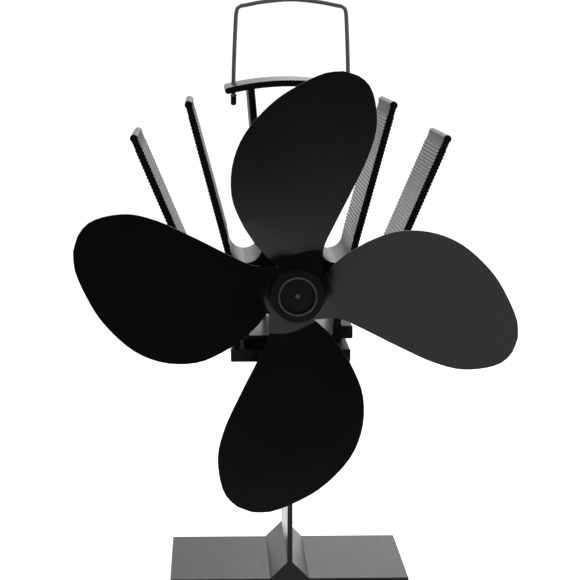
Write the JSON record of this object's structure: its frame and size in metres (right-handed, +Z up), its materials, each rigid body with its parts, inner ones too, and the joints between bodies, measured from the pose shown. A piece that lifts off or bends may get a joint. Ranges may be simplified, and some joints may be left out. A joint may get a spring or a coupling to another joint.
{
  "type": "stove fan",
  "caption": "Heat-powered stove fan: black aluminium stand and crown-shaped heat sink, pitched blades on a small motor, wire carry handle.",
  "frame": {"origin": "middle of the foot plate's underside, which rests on the stove", "axes": "+Z up, -Y towards the room on the fan's side, +X to the right seen from the front"},
  "size_m": [0.1762, 0.0922, 0.2415],
  "materials": {
    "black_aluminium": "satin black anodised extrusion with fine die lines",
    "black_sheet": "satin black painted sheet",
    "black_plastic": "satin moulded",
    "black_steel": "black finished steel",
    "bright_steel": "bright",
    "core_steel": "varnished laminations",
    "white_ceramic": "matt",
    "ferrite": "matt",
    "graphite": "matt graphite sheet",
    "copper": "enamelled copper",
    "brass": "plain",
    "black_rubber": "matt",
    "fibre": "pressed fibre",
    "red_insulation": "silicone insulation",
    "black_insulation": "silicone insulation"
  },
  "bodies": {
    "stand": {"base_stand": "black_aluminium", "foil_hot_side": "graphite", "module_hot_ceramic": "white_ceramic", "module_pellets": "bright_steel", "module_seal": "black_rubber", "module_cold_ceramic": "white_ceramic", "foil_cold_side": "graphite", "heat_sink": "black_aluminium", "motor_can": "bright_steel", "motor_end_cap": "black_plastic", "motor_front_bush": "brass", "motor_rear_bush": "brass", "motor_magnet_upper": "ferrite", "motor_magnet_lower": "ferrite", "motor_terminal_left": "brass", "motor_terminal_right": "brass", "motor_set_screw": "black_steel", "clamp_insulator_left": "fibre", "clamp_insulator_right": "fibre", "clamp_spring_washer_left": "bright_steel", "clamp_spring_washer_right": "bright_steel", "clamp_screw_left": "black_steel", "clamp_screw_right": "black_steel", "lead_red": "red_insulation", "lead_black": "black_insulation"},
    "fan": {"fan_blades": "black_sheet", "fan_hub": "black_plastic", "fan_hub_collar": "black_plastic", "motor_shaft": "bright_steel", "motor_armature": "core_steel", "motor_coil_1": "copper", "motor_coil_2": "copper", "motor_coil_3": "copper", "motor_commutator": "copper"},
    "handle": {"carry_handle": "black_steel", "handle_stop_left": "black_rubber", "handle_stop_right": "black_rubber", "handle_ferrule_left": "bright_steel", "handle_ferrule_right": "bright_steel"}
  },
  "joints": [
    {"name": "fan_spin", "type": "hinge", "parent": "stand", "child": "fan", "pos_m": [0.0016, -0.0441, 0.1248], "axis": [0, 1, 0], "continuous": true},
    {"name": "handle_slide", "type": "slide", "parent": "stand", "child": "handle", "axis": [0, 0, 1], "range_m": [-0.024, 0.0008]}
  ]
}
